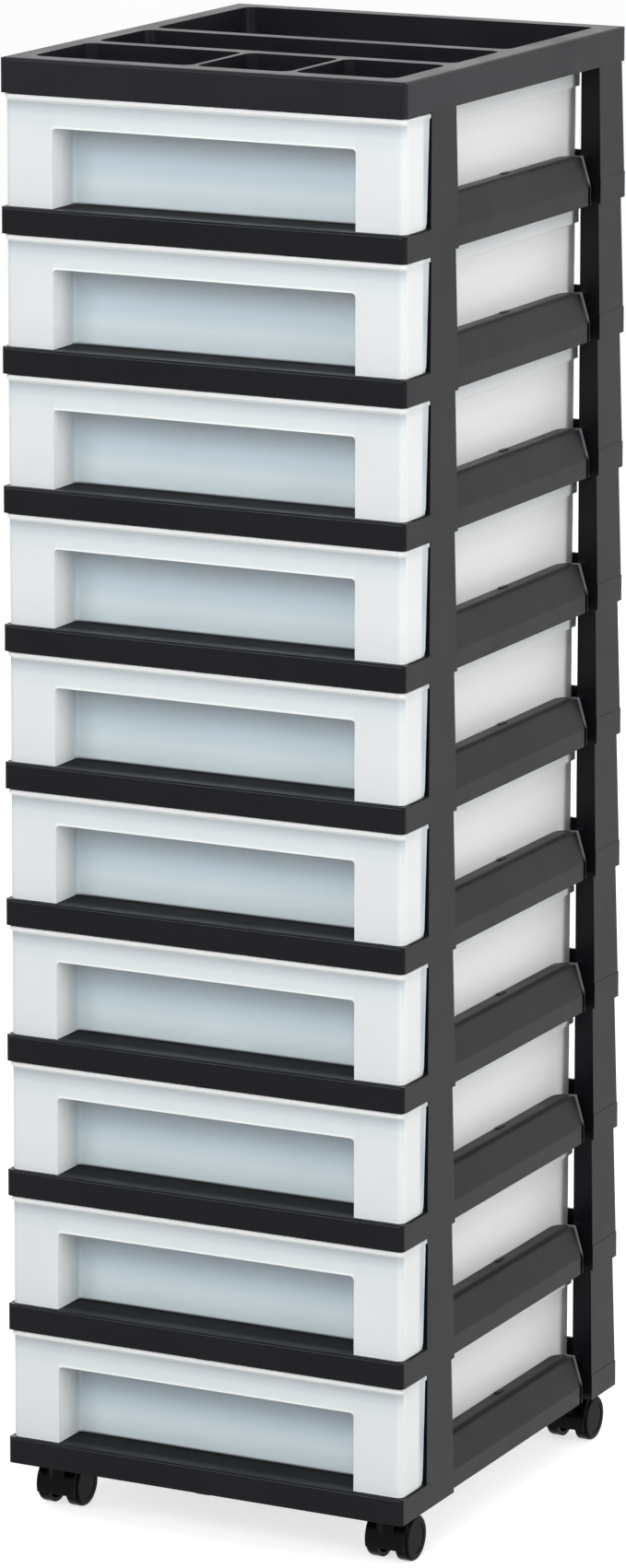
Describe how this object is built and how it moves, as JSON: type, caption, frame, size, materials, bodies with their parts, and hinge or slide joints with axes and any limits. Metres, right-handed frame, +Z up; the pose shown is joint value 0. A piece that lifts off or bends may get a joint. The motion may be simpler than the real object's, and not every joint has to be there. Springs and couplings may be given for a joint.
{
  "type": "plastic drawer tower",
  "caption": "Tall rolling tower of stacked black tier frames with translucent pull-out drawers, an open compartment tray on top and twin-wheel swivel casters.",
  "frame": {"origin": "on the floor, under the middle of the tower's width and depth", "axes": "+Z up, -Y towards the front (drawers open along -Y), +X to the right seen from the front"},
  "size_m": [0.317, 0.364, 1.064],
  "materials": {
    "frame_black": "satin",
    "tray_black": "satin",
    "drawer_translucent": "translucent",
    "caster_black": "satin",
    "wheel_black": "satin",
    "pin_steel": "brushed"
  },
  "bodies": {
    "cabinet": {"frame_1": "frame_black", "frame_2": "frame_black", "frame_3": "frame_black", "frame_4": "frame_black", "frame_5": "frame_black", "frame_6": "frame_black", "frame_7": "frame_black", "frame_8": "frame_black", "frame_9": "frame_black", "frame_10": "frame_black", "organizer_tray": "tray_black", "stem_front_left": "pin_steel", "stem_front_right": "pin_steel", "stem_rear_left": "pin_steel", "stem_rear_right": "pin_steel"},
    "drawer_1": {"drawer_1": "drawer_translucent"},
    "drawer_2": {"drawer_2": "drawer_translucent"},
    "drawer_3": {"drawer_3": "drawer_translucent"},
    "drawer_4": {"drawer_4": "drawer_translucent"},
    "drawer_5": {"drawer_5": "drawer_translucent"},
    "drawer_6": {"drawer_6": "drawer_translucent"},
    "drawer_7": {"drawer_7": "drawer_translucent"},
    "drawer_8": {"drawer_8": "drawer_translucent"},
    "drawer_9": {"drawer_9": "drawer_translucent"},
    "drawer_10": {"drawer_10": "drawer_translucent"},
    "caster_front_left": {"housing_front_left": "caster_black", "axle_front_left": "pin_steel"},
    "wheel_front_left_outer": {"wheel_front_left_outer": "wheel_black"},
    "wheel_front_left_inner": {"wheel_front_left_inner": "wheel_black"},
    "caster_front_right": {"housing_front_right": "caster_black", "axle_front_right": "pin_steel"},
    "wheel_front_right_outer": {"wheel_front_right_outer": "wheel_black"},
    "wheel_front_right_inner": {"wheel_front_right_inner": "wheel_black"},
    "caster_rear_left": {"housing_rear_left": "caster_black", "axle_rear_left": "pin_steel"},
    "wheel_rear_left_outer": {"wheel_rear_left_outer": "wheel_black"},
    "wheel_rear_left_inner": {"wheel_rear_left_inner": "wheel_black"},
    "caster_rear_right": {"housing_rear_right": "caster_black", "axle_rear_right": "pin_steel"},
    "wheel_rear_right_outer": {"wheel_rear_right_outer": "wheel_black"},
    "wheel_rear_right_inner": {"wheel_rear_right_inner": "wheel_black"}
  },
  "joints": [
    {"name": "drawer_1_slide", "type": "slide", "parent": "cabinet", "child": "drawer_1", "axis": [0, -1, 0], "range_m": [0, 0.225]},
    {"name": "drawer_2_slide", "type": "slide", "parent": "cabinet", "child": "drawer_2", "axis": [0, -1, 0], "range_m": [0, 0.225]},
    {"name": "drawer_3_slide", "type": "slide", "parent": "cabinet", "child": "drawer_3", "axis": [0, -1, 0], "range_m": [0, 0.225]},
    {"name": "drawer_4_slide", "type": "slide", "parent": "cabinet", "child": "drawer_4", "axis": [0, -1, 0], "range_m": [0, 0.225]},
    {"name": "drawer_5_slide", "type": "slide", "parent": "cabinet", "child": "drawer_5", "axis": [0, -1, 0], "range_m": [0, 0.225]},
    {"name": "drawer_6_slide", "type": "slide", "parent": "cabinet", "child": "drawer_6", "axis": [0, -1, 0], "range_m": [0, 0.225]},
    {"name": "drawer_7_slide", "type": "slide", "parent": "cabinet", "child": "drawer_7", "axis": [0, -1, 0], "range_m": [0, 0.225]},
    {"name": "drawer_8_slide", "type": "slide", "parent": "cabinet", "child": "drawer_8", "axis": [0, -1, 0], "range_m": [0, 0.225]},
    {"name": "drawer_9_slide", "type": "slide", "parent": "cabinet", "child": "drawer_9", "axis": [0, -1, 0], "range_m": [0, 0.225]},
    {"name": "drawer_10_slide", "type": "slide", "parent": "cabinet", "child": "drawer_10", "axis": [0, -1, 0], "range_m": [0, 0.225]},
    {"name": "swivel_front_left", "type": "hinge", "parent": "cabinet", "child": "caster_front_left", "pos_m": [-0.133, -0.1525, 0.035], "axis": [0, 0, 1], "continuous": true},
    {"name": "roll_front_left_outer", "type": "hinge", "parent": "caster_front_left", "child": "wheel_front_left_outer", "pos_m": [-0.1452, -0.1401, 0.0167], "axis": [1, 0, 0], "continuous": true},
    {"name": "roll_front_left_inner", "type": "hinge", "parent": "caster_front_left", "child": "wheel_front_left_inner", "pos_m": [-0.1208, -0.1401, 0.0167], "axis": [1, 0, 0], "continuous": true},
    {"name": "swivel_front_right", "type": "hinge", "parent": "cabinet", "child": "caster_front_right", "pos_m": [0.133, -0.1525, 0.035], "axis": [0, 0, 1], "continuous": true},
    {"name": "roll_front_right_outer", "type": "hinge", "parent": "caster_front_right", "child": "wheel_front_right_outer", "pos_m": [0.1452, -0.1401, 0.0167], "axis": [1, 0, 0], "continuous": true},
    {"name": "roll_front_right_inner", "type": "hinge", "parent": "caster_front_right", "child": "wheel_front_right_inner", "pos_m": [0.1208, -0.1401, 0.0167], "axis": [1, 0, 0], "continuous": true},
    {"name": "swivel_rear_left", "type": "hinge", "parent": "cabinet", "child": "caster_rear_left", "pos_m": [-0.133, 0.1525, 0.035], "axis": [0, 0, 1], "continuous": true},
    {"name": "roll_rear_left_outer", "type": "hinge", "parent": "caster_rear_left", "child": "wheel_rear_left_outer", "pos_m": [-0.1452, 0.1649, 0.0167], "axis": [1, 0, 0], "continuous": true},
    {"name": "roll_rear_left_inner", "type": "hinge", "parent": "caster_rear_left", "child": "wheel_rear_left_inner", "pos_m": [-0.1208, 0.1649, 0.0167], "axis": [1, 0, 0], "continuous": true},
    {"name": "swivel_rear_right", "type": "hinge", "parent": "cabinet", "child": "caster_rear_right", "pos_m": [0.133, 0.1525, 0.035], "axis": [0, 0, 1], "continuous": true},
    {"name": "roll_rear_right_outer", "type": "hinge", "parent": "caster_rear_right", "child": "wheel_rear_right_outer", "pos_m": [0.1452, 0.1649, 0.0167], "axis": [1, 0, 0], "continuous": true},
    {"name": "roll_rear_right_inner", "type": "hinge", "parent": "caster_rear_right", "child": "wheel_rear_right_inner", "pos_m": [0.1208, 0.1649, 0.0167], "axis": [1, 0, 0], "continuous": true}
  ]
}
